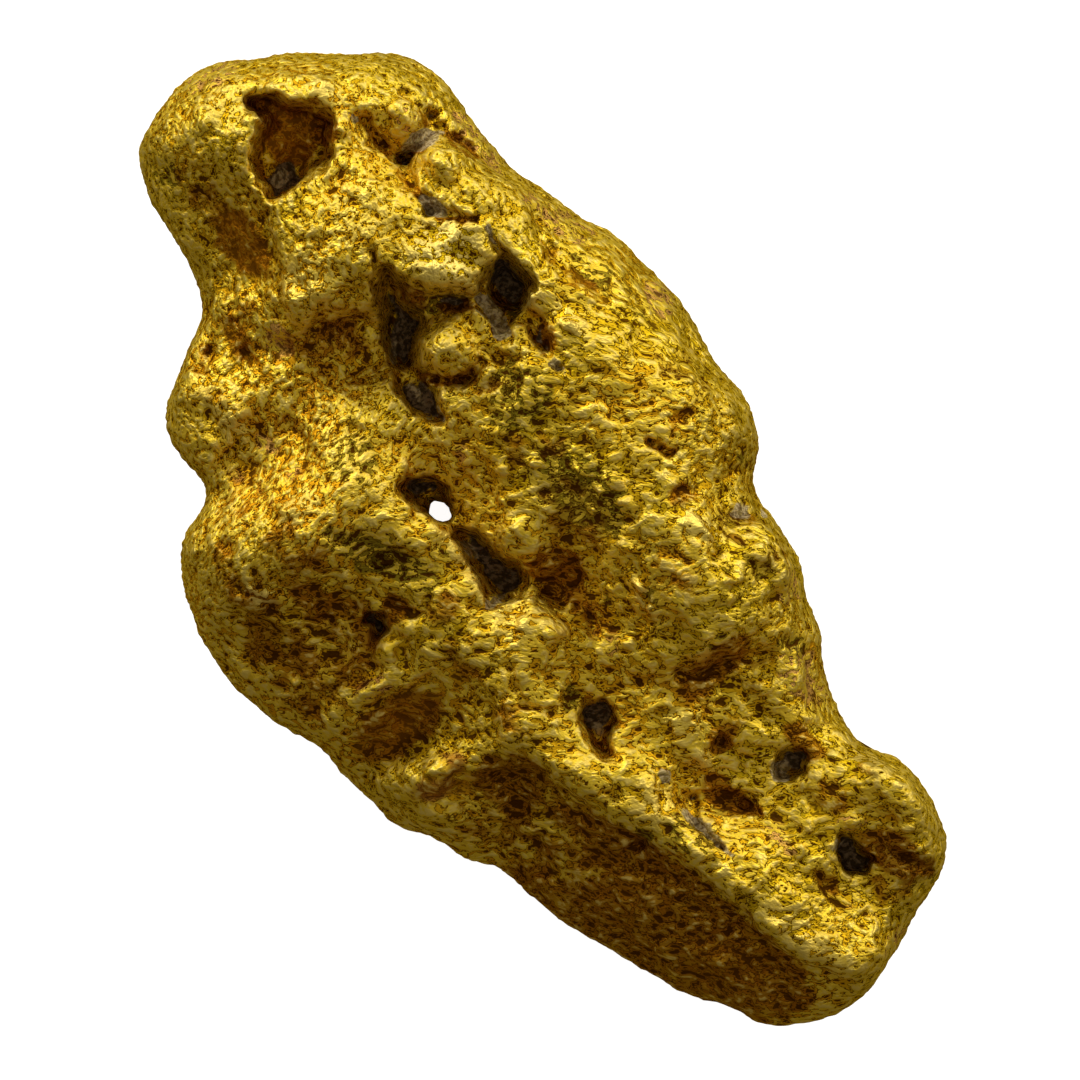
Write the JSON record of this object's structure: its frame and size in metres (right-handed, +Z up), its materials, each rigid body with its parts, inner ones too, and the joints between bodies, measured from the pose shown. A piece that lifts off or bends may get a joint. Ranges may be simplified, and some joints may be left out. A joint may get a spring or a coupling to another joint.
{
  "type": "gold nugget",
  "caption": "Natural gold nugget: a flat, lumpy, water-worn piece of native gold with a cratered head, pits, crevices and a small hole right through.",
  "frame": {"origin": "centre of the bounding box, at the level of the surface that the nugget rests on", "axes": "+X along the nugget from its cratered head to its ridged tail, +Y across it towards the shoulder side, +Z up from the surface it rests on"},
  "size_m": [0.0285, 0.0147, 0.0075],
  "materials": {
    "native_gold": "worn, grainy native gold with brown film and grey grit in its hollows"
  },
  "bodies": {
    "root": {"nugget": "native_gold"}
  },
  "joints": []
}
